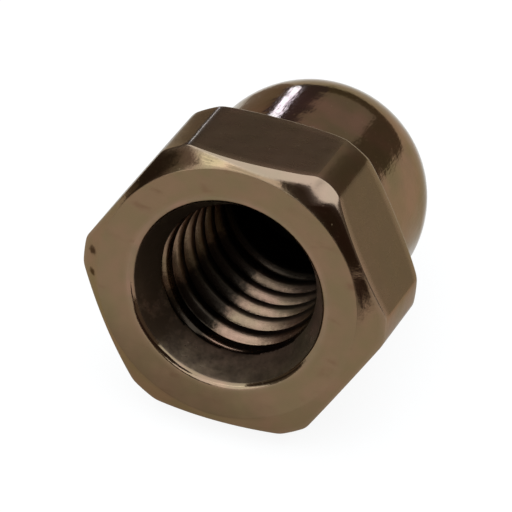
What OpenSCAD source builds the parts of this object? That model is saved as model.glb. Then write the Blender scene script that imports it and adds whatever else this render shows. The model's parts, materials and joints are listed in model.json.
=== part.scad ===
// Domed cap nut, M5 size: a hexagon whose blind threaded hole is closed by a dome.
// One solid, cold formed and tapped. It lies on one flat and tips forward onto its dome.

/* [Hexagon] */
// Width across the flats
flats_w = 8; // [7.6:0.1:10]
// Width across the corners, cut short by the round blank
corners_d = 8.8; // [8.5:0.05:9.2]
// Height of the hexagon, from the seat to the foot of the dome's wall
hex_h = 3.55; // [2.8:0.05:4.5]

/* [Seat and chamfers] */
// Diameter of the flat bearing face
seat_d = 7.45; // [6.4:0.05:7.6]
// Radius of the rounding between the bearing face and its chamfer
seat_edge_r = 0.15; // [0.05:0.05:0.8]
// Angle between the bearing face and its chamfer
seat_chamfer_a = 30; // [15:1:40]
// Slope of the shoulder that the dome stands on
shoulder_a = 20; // [5:1:35]

/* [Dome] */
// Overall height, from the seat to the top of the dome
total_h = 10; // [8:0.1:14]
// Diameter of the dome and of the wall below it
dome_d = 6.6; // [5.5:0.05:7.4]
// Radius of the fillet between the dome's wall and the shoulder
neck_r = 0.25; // [0.05:0.05:0.4]

/* [Threaded hole] */
// Nominal diameter of the thread
thread_d = 5; // [3:0.5:6]
// Pitch of the thread
thread_pitch = 0.8; // [0.5:0.05:1]
// Thickness of the dome over the end of the hole
dome_wall = 1.25; // [0.8:0.05:2.5]
// Full angle of the hole's conical end
tip_a = 118; // [90:1:150]
// Diameter of the mouth on the bearing face
mouth_d = 5.62; // [4.68:0.02:6.8]
// Radius of the lip between the bearing face and the countersink
lip_r = 0.24; // [0.05:0.01:0.4]
// Full angle of the countersink
countersink_a = 60; // [50:1:120]

/* [Hidden] */

// Fineness of round stretches in the preview
$fn = 96;
// How far a cut runs past the face that it opens
past = 1;

half_w = flats_w / 2;
seat_r = seat_d / 2;
mouth_r = mouth_d / 2;
dome_r = dome_d / 2;
dome_z = total_h - dome_r;
// The plain hole is as wide as the crests of an internal metric thread
tap_r = (thread_d - 1.0825 * thread_pitch) / 2;
tip_h = tap_r / tan(tip_a / 2);
bore_depth = total_h - dome_wall - tip_h;

// Corner of the bearing face and its chamfer before the rounding
seat_corner_r = seat_r + seat_edge_r * tan(seat_chamfer_a / 2);
// Edge of the bearing face and the countersink before the lip is rounded
mouth_corner_r = mouth_r - lip_r * tan((90 - countersink_a / 2) / 2);
countersink_h = (mouth_corner_r - tap_r) / tan(countersink_a / 2);

// Centre of the fillet's circle, and how far the fillet reaches along the wall and the shoulder
neck_reach = neck_r / tan((90 + shoulder_a) / 2);
neck_centre = [dome_r + neck_r, hex_h + neck_reach];

// The turned outline reaches a little past the hexagon's corners
outline_r = half_w / cos(30) + past;
seat_chamfer_h = (outline_r - seat_corner_r) * tan(seat_chamfer_a);
shoulder_drop = (outline_r - dome_r) * tan(shoulder_a);

// At rest the end of the lowest flat and the dome both touch the table
flat_end = hex_h - (half_w - dome_r) * tan(shoulder_a);
rest_tilt = atan2(half_w, dome_z - flat_end) - asin(dome_r / norm([half_w, dome_z - flat_end]));
axis_h = half_w * cos(rest_tilt) + flat_end * sin(rest_tilt);
// Foremost and rearmost reach at rest, measured from the middle of the mouth
front_y = seat_edge_r * cos(rest_tilt) - seat_r * sin(rest_tilt) - seat_edge_r;
back_y = dome_z * cos(rest_tilt) + dome_r;

function along(a) = [cos(a), sin(a)];

// The sliver between a sharp corner and the arc that rounds it. The two edges leave the corner
// at the angles a and b, and the sliver runs past the corner so that it cuts cleanly.
module corner_sliver(corner, a, b, r) {
    reach = r / tan(abs(b - a) / 2);
    inward = along((a + b) / 2);
    centre = corner + inward * r / sin(abs(b - a) / 2);
    difference() {
        polygon([corner - inward * r, corner + along(a) * reach, centre, corner + along(b) * reach]);
        translate(centre) circle(r);
    }
}

// Half of the lengthwise section that a lathe would leave, without the hole
module turned_section() {
    difference() {
        union() {
            polygon([
                [0, 0],
                [seat_corner_r, 0],
                [outline_r, seat_chamfer_h],
                [outline_r, hex_h - shoulder_drop],
                [dome_r, hex_h] + along(-shoulder_a) * neck_reach,
                neck_centre,
                [dome_r, hex_h + neck_reach],
                [dome_r, dome_z],
                [0, dome_z]
            ]);
            intersection() {
                translate([0, dome_z]) circle(dome_r);
                translate([0, dome_z - dome_r]) square([dome_r, 2 * dome_r]);
            }
        }
        corner_sliver([seat_corner_r, 0], 180, seat_chamfer_a, seat_edge_r);
        translate(neck_centre) circle(neck_r);
    }
}

// Half of the section of the blind hole: lip, countersink, straight wall and conical end
module hole_section() {
    polygon([
        [0, -past],
        [mouth_corner_r, -past],
        [mouth_corner_r, 0],
        [tap_r, countersink_h],
        [tap_r, bore_depth],
        [0, bore_depth + tip_h]
    ]);
    corner_sliver([mouth_corner_r, 0], 0, 90 + countersink_a / 2, lip_r);
}

// Hexagon with its corners cut by the round blank, two of its flats facing along Y
module hexagon() {
    intersection() {
        circle(half_w / cos(30), $fn = 6);
        circle(corners_d / 2);
    }
}

// The nut as it is made, seat down and dome up
module upright_nut() {
    difference() {
        intersection() {
            rotate_extrude() turned_section();
            linear_extrude(total_h) hexagon();
        }
        rotate_extrude() hole_section();
    }
}

module cap_nut() {
    color([0.50, 0.42, 0.33])
        translate([0, -(front_y + back_y) / 2, axis_h])
            rotate([-90 - rest_tilt, 0, 0])
                upright_nut();
}

cap_nut();
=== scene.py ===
"""The looks of a domed cap nut in polished stainless steel, lying tipped forward on its dome."""

import json
import math

import bpy
from mathutils import Matrix, Vector


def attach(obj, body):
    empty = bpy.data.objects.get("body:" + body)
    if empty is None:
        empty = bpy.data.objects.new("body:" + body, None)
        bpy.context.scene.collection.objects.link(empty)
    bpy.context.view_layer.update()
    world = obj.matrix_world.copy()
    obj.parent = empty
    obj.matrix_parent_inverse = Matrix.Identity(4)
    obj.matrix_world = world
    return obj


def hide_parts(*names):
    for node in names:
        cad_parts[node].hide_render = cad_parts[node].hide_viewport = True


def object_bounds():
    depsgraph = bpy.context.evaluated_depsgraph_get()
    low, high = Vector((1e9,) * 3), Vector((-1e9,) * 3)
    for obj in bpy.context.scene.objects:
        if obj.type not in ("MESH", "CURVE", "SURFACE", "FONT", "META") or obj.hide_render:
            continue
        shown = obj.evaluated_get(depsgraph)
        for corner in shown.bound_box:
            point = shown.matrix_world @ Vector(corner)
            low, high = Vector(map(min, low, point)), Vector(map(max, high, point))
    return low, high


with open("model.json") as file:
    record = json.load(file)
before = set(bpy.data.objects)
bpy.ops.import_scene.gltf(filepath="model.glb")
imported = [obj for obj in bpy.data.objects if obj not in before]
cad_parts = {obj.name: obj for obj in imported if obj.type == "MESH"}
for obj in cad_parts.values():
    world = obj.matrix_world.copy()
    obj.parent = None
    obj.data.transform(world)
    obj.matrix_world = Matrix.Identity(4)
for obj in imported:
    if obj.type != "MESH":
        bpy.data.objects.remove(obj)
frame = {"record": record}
cad_low, cad_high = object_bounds()
scene = bpy.context.scene
scene.view_settings.view_transform = "Standard"
MM = 0.001

# ---- Camera -------------------------------------------------------------------------------------
# A long lens looks down at the seat and into the threaded hole, from the front and a little to the
# right, and leans slightly to one side.
camera_azimuth = math.radians(17.9)
camera_elevation = math.radians(38.3)
camera_lean = math.radians(4.0)
camera_distance = 203.2 * MM
camera_aim = Vector((-0.48, -1.02, 3.19)) * MM
camera_lens = 515


def direction(azimuth, elevation):
    """The way from the nut to a place at these angles. Azimuth 0 is in front, along -Y."""
    level = math.cos(elevation)
    return Vector((math.sin(azimuth) * level, -math.cos(azimuth) * level, math.sin(elevation)))


def placed(aim, azimuth, elevation, distance, lean=0.0):
    """The matrix of a camera or lamp that stands at these angles from aim and looks at it."""
    back = direction(azimuth, elevation)
    turn = back.to_track_quat("Z", "Y").to_matrix() @ Matrix.Rotation(lean, 3, "Z")
    return Matrix.Translation(aim + back * distance) @ turn.to_4x4()


camera = bpy.data.objects.new("camera", bpy.data.cameras.new("camera"))
scene.collection.objects.link(camera)
camera.matrix_world = placed(
    camera_aim, camera_azimuth, camera_elevation, camera_distance, camera_lean
)
camera.data.lens = camera_lens
camera.data.clip_start = 10 * MM
camera.data.clip_end = 10
scene.camera = camera

# ---- Table --------------------------------------------------------------------------------------
# A plain white table top, much larger than the view. It keeps a faint shadow, and the lower half
# of the polished steel reflects it.
table_half = 2.0
table_colour = (0.90, 0.86, 0.78, 1)
table_glow = {"Is Camera Ray": 0.9, "Is Glossy Ray": 0.4, "Is Transmission Ray": 0.4}


def new_material(name):
    material = bpy.data.materials.new(name)
    material.use_nodes = True
    material.node_tree.nodes.clear()
    return material


def white_where_seen(tree):
    """How far the table is plain white for the rays that show the table itself."""
    path = tree.nodes.new("ShaderNodeLightPath")
    total = None
    for kind, share in table_glow.items():
        add = tree.nodes.new("ShaderNodeMath")
        add.operation = "MULTIPLY_ADD"
        tree.links.new(path.outputs[kind], add.inputs[0])
        add.inputs[1].default_value = share
        add.inputs[2].default_value = 0
        if total:
            tree.links.new(total, add.inputs[2])
        total = add.outputs[0]
    return total


def table_top():
    material = new_material("table_top")
    tree = material.node_tree
    paint = tree.nodes.new("ShaderNodeBsdfDiffuse")
    paint.inputs["Color"].default_value = table_colour
    white = tree.nodes.new("ShaderNodeEmission")
    mix = tree.nodes.new("ShaderNodeMixShader")
    output = tree.nodes.new("ShaderNodeOutputMaterial")
    tree.links.new(white_where_seen(tree), mix.inputs["Fac"])
    tree.links.new(paint.outputs[0], mix.inputs[1])
    tree.links.new(white.outputs[0], mix.inputs[2])
    tree.links.new(mix.outputs[0], output.inputs["Surface"])
    return material


def card(name, half_width, half_height):
    """A flat rectangle in the studio, which isn't part of the nut."""
    mesh = bpy.data.meshes.new(name)
    corners = [(-1, -1), (1, -1), (1, 1), (-1, 1)]
    mesh.from_pydata([(x * half_width, y * half_height, 0) for x, y in corners], [], [(0, 1, 2, 3)])
    made = bpy.data.objects.new(name, mesh)
    scene.collection.objects.link(made)
    return made


table = card("table", table_half, table_half)
table.data.materials.append(table_top())

# ---- Light --------------------------------------------------------------------------------------
# A dim warm room under a wide pale ceiling light. Soft lamps stand in front on the left, and a pale
# screen and a small cool window stand behind. Dark and grey screens, which only the steel sees,
# stand in front on the right, at the left and behind.
room_colour = (0.24, 0.215, 0.19)
daylight = (0.86, 1.0, 1.18)
cool = (0.55, 0.82, 1.60)
lilac = (0.92, 0.94, 1.08)
nut_middle = Vector((0, 0, 4 * MM))

world = bpy.data.worlds.new("room")
scene.world = world
world.use_nodes = True
world.node_tree.nodes["Background"].inputs["Color"].default_value = (*room_colour, 1)


def facing_nut(made, azimuth, elevation, distance):
    made.matrix_world = placed(
        nut_middle, math.radians(azimuth), math.radians(elevation), distance
    )
    made.visible_camera = False
    return made


def across(angle, distance):
    """The width of something that covers this angle at this distance."""
    return 2 * distance * math.tan(math.radians(angle) / 2)


def lamp(name, azimuth, elevation, wide, high, brightness, colour, distance=0.8):
    """A soft rectangular lamp that covers this many degrees, as the nut sees it. Brightness 1 is
    as bright as a white card."""
    light = bpy.data.lights.new(name, "AREA")
    light.shape = "RECTANGLE"
    light.size, light.size_y = across(wide, distance), across(high, distance)
    light.energy = brightness * math.pi * light.size * light.size_y
    light.color = colour
    made = bpy.data.objects.new(name, light)
    scene.collection.objects.link(made)
    return facing_nut(made, azimuth, elevation, distance)


def dark_screen(name, azimuth, elevation, wide, high, colour, distance=0.5):
    """A dark or grey card that only the polished steel sees."""
    made = card(name, across(wide, distance) / 2, across(high, distance) / 2)
    material = new_material(name)
    tree = material.node_tree
    glow = tree.nodes.new("ShaderNodeEmission")
    glow.inputs["Color"].default_value = (*colour, 1)
    output = tree.nodes.new("ShaderNodeOutputMaterial")
    tree.links.new(glow.outputs[0], output.inputs["Surface"])
    made.data.materials.append(material)
    made.visible_diffuse = False
    made.visible_shadow = False
    return facing_nut(made, azimuth, elevation, distance)


lamp("ceiling_light", 0, 90, 84, 84, 2.6, daylight)
lamp("front_lamp", -17, 31.5, 46, 34, 3.1, daylight, distance=0.6)
lamp("low_lamp", -24, 8, 20, 16, 1.6, lilac)
lamp("side_lamp", -47, 30, 10, 16, 0.33, lilac)
lamp("pale_screen", -179, 27, 30.5, 27, 0.42, lilac)
lamp("window", -154.5, 7, 3.8, 5, 15, cool, distance=0.45)
dark_screen("front_screen", 21, 25, 30, 52, (0.08, 0.055, 0.05))
dark_screen("low_screen", 30, -3, 12, 14, (0.08, 0.055, 0.05), distance=0.022)
dark_screen("side_screen", -66, 20, 22, 40, (0.09, 0.075, 0.07))
dark_screen("back_screen", -154, 3, 26, 28, (0.16, 0.14, 0.19))
dark_screen("low_back_screen", -147, -4, 18, 24, (0.56, 0.50, 0.46), distance=0.02)

# ---- Cap nut ------------------------------------------------------------------------------------
# One piece of stainless steel, cold formed with its dome, then drilled, countersunk, tapped and
# polished. The hexagon meets the turned outline along softly worn edges.
mounts = {mount["name"]: mount for mount in frame["record"]["mounts"]}
# The seat's mount stands beside the hole, on the ring.
seat_centre = Vector(mounts["seat"]["pos_m"])
seat_centre.x = 0
nut_axis = -Vector(mounts["seat"]["axis"])
half_corners = (cad_high.x - cad_low.x) / 2

# Lengths are in metres, and the places of the wear and of the chip are angles in degrees.
sizes = {
    "Half width across flats": 4.0 * MM,
    "Half width across corners": half_corners,
    "Softness of the corners' edges": 0.09 * MM,
    "Hexagon height": 3.55 * MM,
    "Seat radius": 3.725 * MM,
    "Seat edge radius": 0.08 * MM,
    "Low edge radius": 0.06 * MM,
    "Middle of the wear": -76,
    "Radius of the wear": 0.5 * MM,
    "Chipped corner": -60,
    "Radius of the chip": 0.95 * MM,
    "Worn edge radius": 0.04 * MM,
    "High edge radius": 0.18 * MM,
    "High corner radius": 0.3 * MM,
    "Off centre sideways": -0.09 * MM,
    "Off centre upwards": 0.02 * MM,
    "Neck fillet radius": 0.25 * MM,
    "Dome radius": 3.3 * MM,
    "Overall height": 10.0 * MM,
    "Mouth radius": 2.93 * MM,
    "Lip radius": 0.24 * MM,
    "Crest radius": mounts["thread"]["dims"]["r_mm"] * MM,
    "Root radius": 2.5 * MM,
    "Pitch": 0.8 * MM,
    "Height of the first groove": -0.02 * MM,
    "Start of the thread": 1.0 * MM,
    "Crest rounding": 0.1 * MM,
    "Bell mouth depth": 2.9 * MM,
    "Bell mouth spread": 0.1,
    "Countersink depth": 1.5 * MM,
    "Countersink bend": 0.05 / MM,
    "Tap taper": 1.6 * MM,
    "Dome wall": 1.25 * MM,
}
seat_chamfer = math.radians(30)
shoulder_slope = math.radians(20)
countersink = math.radians(60)
steep = math.radians(62)
tip_slope = math.radians(31)
outwards = math.radians(90)
upwards = math.radians(180)
columns = 360
corner_columns = {0: 0, 6: 4.2, 17: 7.0, 30: 30}
rows_per_pitch = 12
thread_turns = 11
groove_start_slope = 3
plain_end_pitches = 0.6
wear_narrowness = 14
chip_narrowness = 200
merge_distance = 0.0005 * MM


class Formula:
    """A number that Math nodes work out, written with the usual signs."""

    def __init__(self, socket):
        self.socket = socket

    def math(self, operation, *others):
        tree = self.socket.id_data
        node = tree.nodes.new("ShaderNodeMath")
        node.operation = operation
        for slot, value in zip(node.inputs, (self, *others)):
            if isinstance(value, Formula):
                tree.links.new(value.socket, slot)
            else:
                slot.default_value = value
        return Formula(node.outputs[0])

    def __add__(self, other):
        return self.math("ADD", other)

    def __sub__(self, other):
        return self.math("SUBTRACT", other)

    def __mul__(self, other):
        return self.math("MULTIPLY", other)

    def __truediv__(self, other):
        return self.math("DIVIDE", other)

    def __rsub__(self, other):
        return (self * -1).math("ADD", other)

    __radd__ = __add__
    __rmul__ = __mul__

    def sine(self):
        return self.math("SINE")

    def cosine(self):
        return self.math("COSINE")

    def at_least(self, other):
        return self.math("MAXIMUM", other)

    def at_most(self, other):
        return self.math("MINIMUM", other)


def between(start, end, share):
    return start + (end - start) * share


class Skin:
    """The nut's surface, seat down, as rings of faces round its axis. Each ring is a grid that is
    rolled up: its columns go round once, and its rows go along by a rule."""

    def __init__(self, values):
        self.tree = bpy.data.node_groups.new("cap_nut", "GeometryNodeTree")
        given = self.tree.nodes.new("NodeGroupInput")
        sockets = self.tree.interface
        self.inputs = {}
        for name, value in values.items():
            entry = sockets.new_socket(name, in_out="INPUT", socket_type="NodeSocketFloat")
            self.inputs[entry.identifier] = value
        sockets.new_socket("Mesh", in_out="OUTPUT", socket_type="NodeSocketGeometry")
        self.size = {name: Formula(given.outputs[name]) for name in values}
        place = self.tree.nodes.new("ShaderNodeSeparateXYZ")
        self.link("GeometryNodeInputPosition", place.inputs[0])
        self.turn = self.gathered(Formula(place.outputs["X"]) + 0.5)
        self.share = Formula(place.outputs["Y"]) + 0.5
        self.angle = self.turn * math.tau
        self.rings = []

    def gathered(self, columns_share):
        """The share of a turn that a column stands at. Columns gather at the corners' edges."""
        sector = columns_share * 6
        off_corner = (sector + 0.5).math("FRACT") - 0.5
        off_column = off_corner.math("ABSOLUTE") * columns / 6
        degrees = 0
        steps = list(corner_columns.items())
        for (column, angle), (next_column, next_angle) in zip(steps, steps[1:]):
            here = (off_column - column).at_least(0).at_most(next_column - column)
            degrees = here * ((next_angle - angle) / (next_column - column)) + degrees
        return (sector - off_corner + off_corner.math("SIGN") * degrees / 60) / 6

    def link(self, kind, slot):
        node = self.tree.nodes.new(kind)
        self.tree.links.new(node.outputs[0], slot)
        return node

    def ring(self, rows, radius, height, turned, **marks):
        """Adds a ring. What is turned is a little off the hexagon's centre, and the marks are
        attributes that the steel's finish reads."""
        grid = self.tree.nodes.new("GeometryNodeMeshGrid")
        for slot, value in zip(grid.inputs, (1, 1, columns + 1, rows + 1)):
            slot.default_value = value
        mesh = grid.outputs["Mesh"]
        for name, value in marks.items():
            store = self.tree.nodes.new("GeometryNodeStoreNamedAttribute")
            store.inputs["Name"].default_value = name
            self.tree.links.new(mesh, store.inputs["Geometry"])
            if isinstance(value, Formula):
                self.tree.links.new(value.socket, store.inputs["Value"])
            else:
                store.inputs["Value"].default_value = value
            mesh = store.outputs[0]
        spot = self.tree.nodes.new("ShaderNodeCombineXYZ")
        coordinates = (
            radius * self.angle.cosine() + self.size["Off centre sideways"] * turned,
            radius * self.angle.sine() - self.size["Off centre upwards"] * turned,
            height,
        )
        for slot, value in zip(spot.inputs, coordinates):
            self.tree.links.new(value.socket, slot)
        move = self.tree.nodes.new("GeometryNodeSetPosition")
        self.tree.links.new(mesh, move.inputs["Geometry"])
        self.tree.links.new(spot.outputs[0], move.inputs["Position"])
        self.rings.append(move.outputs[0])

    def close(self, material):
        """Joins the rings into one closed mesh."""
        join = self.tree.nodes.new("GeometryNodeJoinGeometry")
        for ring in self.rings:
            self.tree.links.new(ring, join.inputs[0])
        merge = self.tree.nodes.new("GeometryNodeMergeByDistance")
        merge.inputs["Distance"].default_value = merge_distance
        smooth = self.tree.nodes.new("GeometryNodeSetShadeSmooth")
        realize = self.tree.nodes.new("GeometryNodeRealizeInstances")
        finish = self.tree.nodes.new("GeometryNodeSetMaterial")
        finish.inputs["Material"].default_value = material
        output = self.tree.nodes.new("NodeGroupOutput")
        chain = [join, merge, smooth, realize, finish, output]
        for node, following in zip(chain, chain[1:]):
            self.tree.links.new(node.outputs[0], following.inputs[0])


class Arc:
    """A round stretch of the outline. Its surface faces from one angle to another, where 0 is
    straight down and a right angle straight out; a hollow stretch has a radius below zero."""

    def __init__(self, centre_radius, centre_height, radius, start, end, rows):
        self.centre_radius, self.centre_height, self.radius = centre_radius, centre_height, radius
        self.start, self.end, self.rows = start, end, rows

    def facing(self, angle):
        if isinstance(angle, Formula):
            sine, cosine = angle.sine(), angle.cosine()
        else:
            sine, cosine = math.sin(angle), math.cos(angle)
        return self.centre_radius + self.radius * sine, self.centre_height - self.radius * cosine


def hexagon_radius(skin):
    """How far the hexagon's wall is from the axis, and whether it is on a flat. Angle 0 is at a
    corner."""
    sector = math.radians(60)
    off_middle = (skin.turn * 6).math("FRACT") - 0.5
    on_flat = skin.size["Half width across flats"] / (off_middle * sector).cosine()
    corners = skin.size["Half width across corners"]
    wall = on_flat.math("SMOOTH_MIN", corners, skin.size["Softness of the corners' edges"])
    return wall, on_flat.math("LESS_THAN", corners)


def near(skin, name, narrowness):
    """1 at the angle of this name, and falling to 0 away from it."""
    off = skin.angle - skin.size[name] * math.radians(1)
    return off.cosine().at_least(0).math("POWER", narrowness)


def outside(skin):
    """Lip, seat, chamfer, flats, shoulder and dome: round stretches joined by straight ones."""
    size = skin.size
    wall, flat = hexagon_radius(skin)
    low, worn, high = (size[name + " edge radius"] for name in ("Low", "Worn", "High"))
    flats = size["Half width across flats"]
    at_corner = ((wall - flats) / (size["Half width across corners"] - flats)).math("POWER", 3)
    high = between(high, size["High corner radius"], at_corner)
    dome, neck = size["Dome radius"], size["Neck fillet radius"]
    seat_corner = size["Seat radius"] + size["Seat edge radius"] * math.tan(seat_chamfer / 2)
    wear = near(skin, "Middle of the wear", wear_narrowness)
    chip = near(skin, "Chipped corner", chip_narrowness)
    low = low + size["Radius of the wear"] * wear + size["Radius of the chip"] * chip
    low_place = wall - worn * (1 - math.sin(steep)) - low * math.sin(steep)
    low_height = (low_place - seat_corner) * math.tan(seat_chamfer) + low / math.cos(seat_chamfer)
    worn_height = low_height - (low - worn) * math.cos(steep)
    high_edge = (
        size["Hexagon height"]
        - (wall - high - dome) * math.tan(shoulder_slope)
        - high / math.cos(shoulder_slope)
    )
    neck_height = size["Hexagon height"] + neck / math.tan((outwards + shoulder_slope) / 2)
    lip = size["Lip radius"]
    arcs = [
        Arc(size["Mouth radius"], lip, lip, -countersink, 0, 8),
        Arc(size["Seat radius"], size["Seat edge radius"], size["Seat edge radius"], 0, seat_chamfer, 8),
        Arc(low_place, low_height, low, seat_chamfer, steep, 6),
        Arc(wall - worn, worn_height, worn, steep, outwards, 3),
        Arc(wall - high, high_edge, high, outwards, upwards - shoulder_slope, 8),
        Arc(dome + neck, neck_height, neck * -1, upwards - shoulder_slope, outwards, 6),
        Arc(dome * 0, size["Overall height"] - dome, dome, outwards, upwards, 40),
    ]
    edge_marks = [0, 0, 1, 1, 1, 0, 0]
    seat_marks = [0, 1, 0, 0, 0, 0, 0]
    turned = [1, 1, 0, 0, 0, 0, 0]
    for arc, edge, seat, off in zip(arcs, edge_marks, seat_marks, turned):
        facing = between(arc.start, arc.end, skin.share)
        lip_mark = 1 - skin.share if arc is arcs[0] else 0
        skin.ring(arc.rows, *arc.facing(facing), off, edge=edge, seat=seat, lip=lip_mark)
    straight_rows = [8, 4, 0, 10, 5, 4]
    for i, rows in enumerate(straight_rows):
        if not rows:
            continue
        arc, following = arcs[i : i + 2]
        here, there = arc.facing(arc.end), following.facing(following.start)
        radius, height = (between(a, b, skin.share) for a, b in zip(here, there))
        off = between(turned[i], turned[i + 1], skin.share)
        marks = [{"seat": 1}, {"chamfer": 1}, {}, {"flat": 0.5 + flat * 0.5}, {}, {}][i]
        skin.ring(rows, radius, height, off, **marks)


def hole(skin):
    """The drill's pointed end, and the thread that the countersink cuts into."""
    size = skin.size
    crest, root, pitch = size["Crest radius"], size["Root radius"], size["Pitch"]
    tip_height = crest * math.tan(tip_slope)
    deep = size["Overall height"] - size["Dome wall"] - tip_height
    lip_height = size["Lip radius"] * (1 - math.cos(countersink))
    lip_radius = size["Mouth radius"] - size["Lip radius"] * math.sin(countersink)
    skin.ring(6, crest * skin.share, deep + tip_height * (1 - skin.share), 1, hole=1)

    # The rows climb as the thread does, and those past either end are pressed onto it.
    height = deep + pitch * (skin.turn - skin.share * thread_turns)
    height = height.at_most(deep).at_least(lip_height)
    phase = (height - size["Height of the first groove"]) / pitch - skin.turn

    # A groove has flanks at 60 degrees and a floor an eighth of a pitch wide. It deepens from its
    # start, and gets shallower again at the tap's tapered end.
    off_groove = ((phase + 0.5).math("FRACT") - 0.5).math("ABSOLUTE") * pitch
    tapped = (root - (off_groove - pitch / 16) * math.sqrt(3)).at_most(root)
    started = crest + (height - size["Start of the thread"]) * groove_start_slope
    plain_end = deep - pitch * plain_end_pitches
    taper = crest + (plain_end - height) * (root - crest) / size["Tap taper"]

    # The countersink is slightly hollow, and the crests widen a little towards the mouth.
    inward = height - lip_height
    bend = inward.at_most(size["Countersink depth"]).math("POWER", 2) * size["Countersink bend"]
    cone = lip_radius - inward / math.tan(countersink) + bend
    bell = crest + (size["Bell mouth depth"] - height).at_least(0) * size["Bell mouth spread"]
    grooves = tapped.at_most(taper).at_most(started)
    threaded = grooves.math("SMOOTH_MAX", bell, size["Crest rounding"])
    radius = threaded.at_least(cone)
    depth = ((threaded - crest) / (root - crest)).at_most(1)
    plain_cone = cone.math("GREATER_THAN", threaded)
    rows = thread_turns * rows_per_pitch
    skin.ring(rows, radius, height, 1, hole=1, groove=depth, cone=plain_cone)


class Finish:
    """The steel's finish: patterns and marks that colour, roughen and dent one shader. Its places
    are in millimetres from the middle of the seat, with Z along the nut's axis."""

    def __init__(self, name, to_nut):
        self.material = new_material(name)
        self.tree = self.material.node_tree
        self.shader = self.tree.nodes.new("ShaderNodeBsdfPrincipled")
        output = self.tree.nodes.new("ShaderNodeOutputMaterial")
        self.tree.links.new(self.shader.outputs[0], output.inputs["Surface"])
        coordinates = self.tree.nodes.new("ShaderNodeTexCoord")
        mapping = self.tree.nodes.new("ShaderNodeMapping")
        mapping.inputs["Location"].default_value = to_nut.to_translation() / MM
        mapping.inputs["Rotation"].default_value = to_nut.to_euler()
        mapping.inputs["Scale"].default_value = (1 / MM,) * 3
        self.tree.links.new(coordinates.outputs["Object"], mapping.inputs["Vector"])
        self.place = mapping.outputs["Vector"]
        split = self.tree.nodes.new("ShaderNodeSeparateXYZ")
        self.tree.links.new(self.place, split.inputs[0])
        self.across, self.down, self.along = (Formula(axis) for axis in split.outputs)
        self.radius = (self.across.math("POWER", 2) + self.down.math("POWER", 2)).math("SQRT")
        self.turned_angle = self.down.math("ARCTAN2", self.across)

    def mark(self, name):
        attribute = self.tree.nodes.new("ShaderNodeAttribute")
        attribute.attribute_name = name
        return Formula(attribute.outputs["Fac"])

    def noise(self, size, detail=2.0, place=None):
        """Soft random patches about this many millimetres across, from 0 to 1."""
        texture = self.tree.nodes.new("ShaderNodeTexNoise")
        texture.inputs["Scale"].default_value = 1 / size
        texture.inputs["Detail"].default_value = detail
        self.tree.links.new(place or self.place, texture.inputs["Vector"])
        return Formula(texture.outputs["Fac"])

    def at(self, *coordinates):
        """A place made of three numbers, for a pattern that runs its own way."""
        spot = self.tree.nodes.new("ShaderNodeCombineXYZ")
        for slot, value in zip(spot.inputs, coordinates):
            self.put(value, slot)
        return spot.outputs[0]

    def put(self, value, slot):
        if isinstance(value, Formula):
            self.tree.links.new(value.socket, slot)
        elif isinstance(value, bpy.types.NodeSocket):
            self.tree.links.new(value, slot)
        else:
            slot.default_value = (*value, 1) if isinstance(value, tuple) else value

    def ramp(self, value, start, end):
        """0 below start, 1 above end, and smooth between them."""
        ranged = self.tree.nodes.new("ShaderNodeMapRange")
        ranged.interpolation_type = "SMOOTHSTEP"
        for name, given in (("Value", value), ("From Min", start), ("From Max", end)):
            self.put(given, ranged.inputs[name])
        return Formula(ranged.outputs[0])

    def blend(self, share, below, above):
        mix = self.tree.nodes.new("ShaderNodeMix")
        mix.data_type = "RGBA"
        self.put(share, mix.inputs["Factor"])
        self.put(below, mix.inputs["A"])
        self.put(above, mix.inputs["B"])
        return mix.outputs["Result"]

    def dent(self, height, depth):
        """Seems to raise the surface by the height times the depth in millimetres."""
        bump = self.tree.nodes.new("ShaderNodeBump")
        bump.inputs["Distance"].default_value = depth * MM
        self.put(height, bump.inputs["Height"])
        self.tree.links.new(bump.outputs[0], self.shader.inputs["Normal"])


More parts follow.
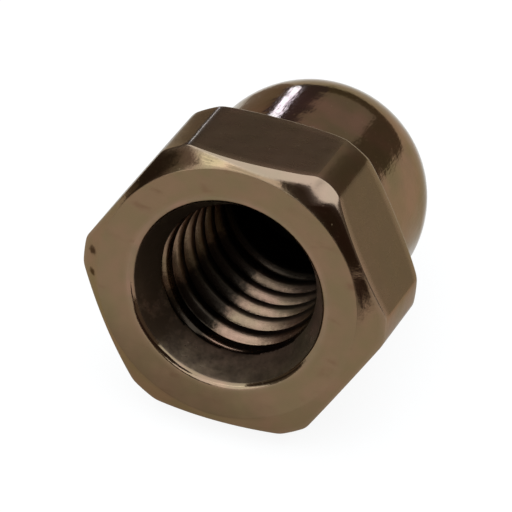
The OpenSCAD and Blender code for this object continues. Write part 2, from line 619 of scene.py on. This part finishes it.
def polished_steel(to_nut):
    """Warm dark stainless steel. The dome is polished, the flats are duller, the seat is turned,
    and the hole holds dirt and painted shade."""
    finish = Finish("polished_steel", to_nut)
    seat, flat, edge = finish.mark("seat"), finish.mark("flat"), finish.mark("edge")
    hole, groove, cone = finish.mark("hole"), finish.mark("groove"), finish.mark("cone")
    lip, chamfer = finish.mark("lip"), finish.mark("chamfer")

    # Broad patches of olive and of reddish brown over the bare steel
    olive, red_brown, umber = (0.146, 0.105, 0.057), (0.203, 0.116, 0.076), (0.135, 0.092, 0.058)
    patches = finish.ramp(finish.noise(1.4, detail=3), 0.3, 0.7)
    clouds = finish.noise(0.5, detail=4)
    speckle = finish.noise(0.12, detail=4)
    colour = finish.blend(patches, olive, red_brown)
    colour = finish.blend(finish.ramp(clouds, 0.35, 0.75) * 0.35, colour, umber)

    # The flats keep a dull skin that is also painted darker as painted shade, one corner's facet is
    # painted darker as a painted dark reflection, and worn edges are brighter
    dull_skin_and_shade, worn_steel = (0.104, 0.073, 0.047), (0.225, 0.165, 0.110)
    # Painted dark reflection: the corner facet at this angle is painted as dark as the flats
    painted_dark_corner = finish.ramp((finish.turned_angle + math.radians(120)).cosine(), 0.98, 0.995)
    dull_and_shaded = (flat * 2 - 1).at_least(flat * painted_dark_corner * 2).at_most(1)
    colour = finish.blend(dull_and_shaded * 0.80, colour, dull_skin_and_shade)
    colour = finish.blend(edge * 0.5, colour, worn_steel)

    # Reddish smears, faint turning marks, painted shade at the bottom, where the seat reflects the table's
    # shadow, and two dark specks on the seat
    seat_olive, seat_brown, ring_pale = (0.125, 0.087, 0.041), (0.148, 0.087, 0.048), (0.185, 0.130, 0.080)
    smear_red, painted_shade_brown, speck_black = (0.100, 0.050, 0.026), (0.060, 0.036, 0.018), (0.026, 0.013, 0.007)
    blotches = finish.ramp(finish.noise(0.9, detail=3), 0.35, 0.65)
    seat_colour = finish.blend(blotches, seat_olive, seat_brown)
    colour = finish.blend((seat + chamfer) * 0.7, colour, seat_colour)
    smears = finish.noise(0.35, detail=4, place=finish.at(finish.across * 0.4, finish.down, 0.0))
    smears = finish.ramp(smears, 0.55, 0.72) * blotches
    colour = finish.blend(seat * smears * 0.6, colour, smear_red)
    ring_marks = finish.noise(
        0.02, detail=3, place=finish.at(finish.radius, finish.turned_angle * 0.02, 0.0)
    )
    colour = finish.blend(seat * ring_marks * 0.15, colour, ring_pale)
    # Painted shade: the seat's low side is painted darker, where the seat reflects the table's shadow
    shaded_low_side = finish.ramp(finish.down - finish.across * 0.35 + clouds * 1.2, 2.6, 4.6)
    colour = finish.blend(seat * shaded_low_side * 0.55, colour, painted_shade_brown)
    near_seat = 1 - finish.ramp(finish.along, 0.5, 0.8)
    for across, down, size in ((-4.10, -0.15, 0.19), (-4.02, 0.48, 0.16)):
        off_speck = (finish.across - across).math("POWER", 2) + (finish.down - down).math("POWER", 2)
        speck = 1 - finish.ramp(off_speck.math("SQRT") + (speckle - 0.4) * size, size * 0.4, size)
        colour = finish.blend(speck * near_seat * 0.9, colour, speck_black)

    # Dirt and painted shade in the hole: a brown film on the countersink that is darker towards one side,
    # and painted shade that blackens the thread's roots, the deep end and one side of the thread
    film_brown, shade_black = (0.034, 0.021, 0.012), (0.016, 0.012, 0.008)
    # Painted shade: one side of the thread is painted black where shadow falls in the hole
    shaded_side = (finish.turned_angle - math.radians(132)).cosine()
    hole_shade = finish.ramp(shaded_side + (speckle - 0.5) * 0.06, 0.88, 0.98) * (1 - cone)
    hole_shade = hole_shade.at_least(finish.ramp(finish.along, 4.2, 6.4))
    cone_side = (finish.turned_angle + math.radians(170)).cosine()
    cone_film = cone * (0.52 + cone_side * 0.34 + (clouds - 0.5) * 1.1)
    inner_lip = finish.ramp(lip, 0.75, 1.0)
    # The hole is darker overall with dirt, and painted shade darkens the thread's roots, its deep end and
    # one side
    dirt_and_shade = hole * (0.16 + (speckle - 0.5) * 0.5) + groove * groove * 0.2 + hole * hole_shade * 0.9
    dirt_and_shade = (dirt_and_shade + cone_film + inner_lip * 0.5).at_least(0).at_most(0.97)
    colour = finish.blend(dirt_and_shade, colour, finish.blend(hole_shade, film_brown, shade_black))
    finish.put(colour, finish.shader.inputs["Base Color"])

    # The dome is the smoothest, and the film on the countersink hides some of the metal
    scratches = finish.noise(
        0.05, detail=2, place=finish.at(finish.across * 0.12, finish.down, finish.along * 0.5)
    )
    crests = hole * (1 - cone) * (1 - groove).math("POWER", 3)
    roughness = 0.085 + seat * 0.13 + flat * 0.17 + hole * 0.08 + cone * 0.10 + clouds * 0.06
    roughness = roughness + (scratches - 0.5) * 0.08 + edge * 0.10 + crests * 0.25
    finish.put(roughness, finish.shader.inputs["Roughness"])
    finish.put(1 - cone * 0.25, finish.shader.inputs["Metallic"])
    tint = finish.blend(flat, (0.62, 0.56, 0.49), (0.55, 0.49, 0.43))
    finish.put(tint, finish.shader.inputs["Specular Tint"])

    # Slight waves and streaks that the polishing left, fine scratches, and small pits
    dome = finish.ramp(finish.along, 3.3, 3.8) * (1 - hole)
    waves = finish.noise(1.1, detail=1)
    ripples = finish.noise(0.45, detail=3)
    brushing = finish.noise(0.1, place=finish.at(finish.turned_angle * 3.3, finish.along * 0.3, 0.0))
    pits = finish.ramp(finish.noise(0.09, detail=1), 0.74, 0.80)
    height = waves * 5 + ripples * (1 - seat) * 1.6 + brushing * dome * 0.9 + scratches * 0.25
    height = height + ring_marks * seat * 0.4 - pits * 0.6 + speckle * hole * 0.8
    finish.dent(height, 0.004)
    return finish.material


def made_by(skin, name):
    """A plain mesh of what the tree makes."""
    start = bpy.data.meshes.new(name + "_start")
    made = bpy.data.objects.new(name, start)
    scene.collection.objects.link(made)
    modifier = made.modifiers.new("skin", "NODES")
    modifier.node_group = skin.tree
    for identifier, value in skin.inputs.items():
        modifier[identifier] = value
    bpy.context.view_layer.update()
    evaluated = made.evaluated_get(bpy.context.evaluated_depsgraph_get())
    mesh = bpy.data.meshes.new_from_object(evaluated)
    mesh.name = name
    while mesh.materials and mesh.materials[0] is None:
        mesh.materials.pop(index=0)
    made.modifiers.remove(modifier)
    made.data = mesh
    return made


sideways = Vector((1, 0, 0))
laid_down = Matrix.Translation(seat_centre) @ (
    Matrix((sideways, nut_axis.cross(sideways), nut_axis)).transposed().to_4x4()
)
skin = Skin(sizes)
hole(skin)
outside(skin)
skin.close(polished_steel(laid_down.inverted()))
nut = made_by(skin, "nut")
nut.data.transform(laid_down)
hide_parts("cap_nut")
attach(nut, "root")
